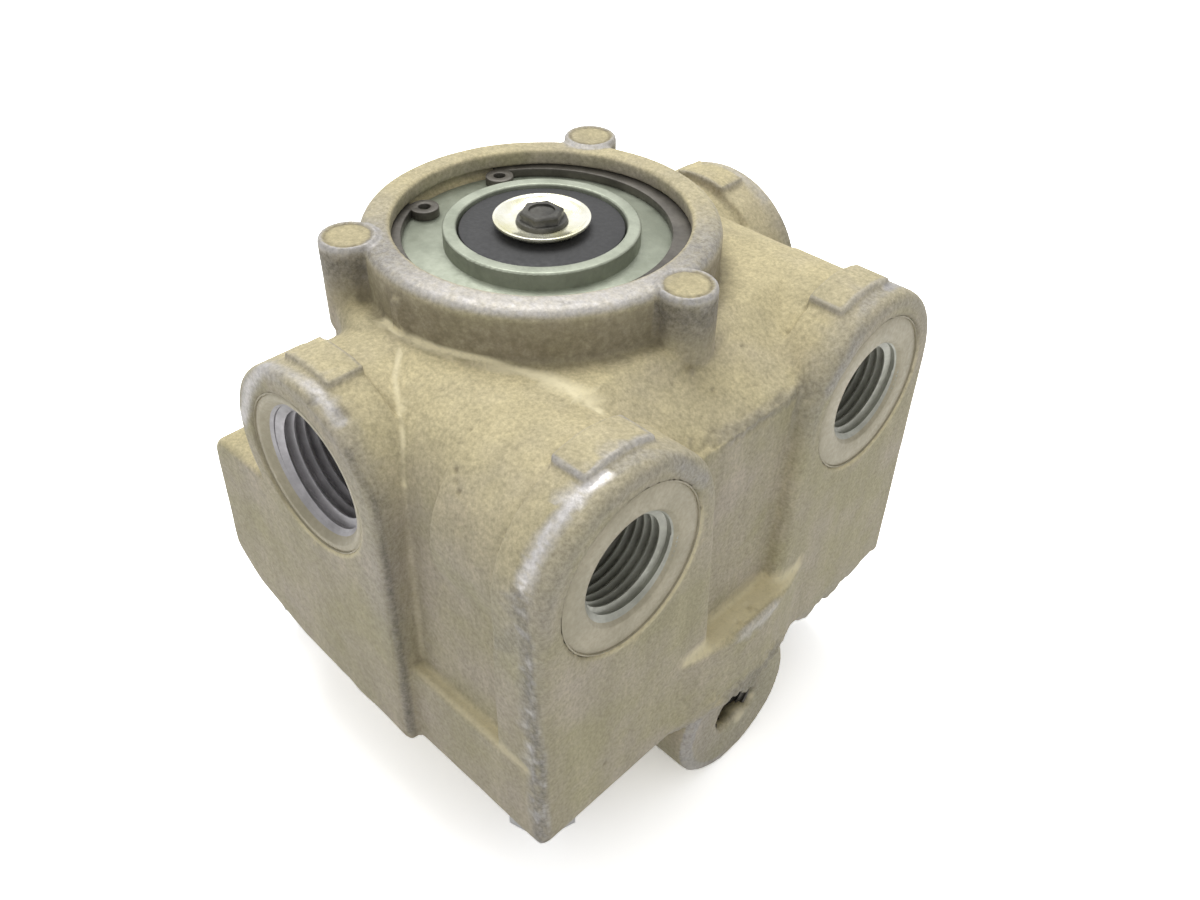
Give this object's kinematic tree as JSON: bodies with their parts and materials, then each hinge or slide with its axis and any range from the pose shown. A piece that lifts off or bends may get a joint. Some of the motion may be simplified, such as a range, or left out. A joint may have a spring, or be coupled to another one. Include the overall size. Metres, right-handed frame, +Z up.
{
  "type": "trailer relay valve",
  "caption": "Air brake relay valve for a trailer: cast body with supply and delivery ports, exhaust cover with rubber disc in a ring on top, control cover below.",
  "frame": {"origin": "middle of the footprint, on the surface that the valve stands on", "axes": "+Z up along the ring and the piston, out of the exhaust; +X towards the delivery ports and the control port; both Y sides carry a supply port"},
  "size_m": [0.0998, 0.0968, 0.0944],
  "materials": {
    "cast_body": "rough, dusty, worn bright on the rims",
    "zinc_plate": "satin",
    "yellow_zinc": "satin",
    "black_steel": "dull",
    "bare_steel": "satin",
    "ring_steel": "dull",
    "machined_aluminium": "machined",
    "black_rubber": "matt"
  },
  "bodies": {
    "valve_body": {"body": "cast_body", "control_cover": "cast_body", "cover_screws": "bare_steel", "cover_lock_washers": "bare_steel", "cover_seal": "black_rubber", "exhaust_cover": "zinc_plate", "retaining_ring": "ring_steel", "exhaust_diaphragm": "black_rubber", "diaphragm_washer": "yellow_zinc", "diaphragm_screw": "black_steel", "guide_inner_ring": "black_rubber", "guide_outer_ring": "black_rubber", "spring_seat_washer": "bare_steel", "piston_spring": "bare_steel", "valve_spring": "bare_steel"},
    "piston": {"piston": "machined_aluminium", "piston_ring": "black_rubber"},
    "inlet_valve": {"valve_stem": "bare_steel", "valve_rubber": "black_rubber", "valve_retainer": "zinc_plate"}
  },
  "joints": [
    {"name": "piston_slide", "type": "slide", "parent": "valve_body", "child": "piston", "axis": [0, 0, 1], "range_m": [0, 0.0038], "stiffness_N_per_m": 500, "springref_m": -0.006, "deforming": ["piston_spring"]},
    {"name": "valve_slide", "type": "slide", "parent": "valve_body", "child": "inlet_valve", "axis": [0, 0, 1], "range_m": [0, 0.0024], "stiffness_N_per_m": 500, "springref_m": -0.004, "deforming": ["valve_spring"]}
  ],
  "couplings": [
    {"joint": "valve_slide", "follows": "piston_slide", "ratio": 0.63}
  ]
}
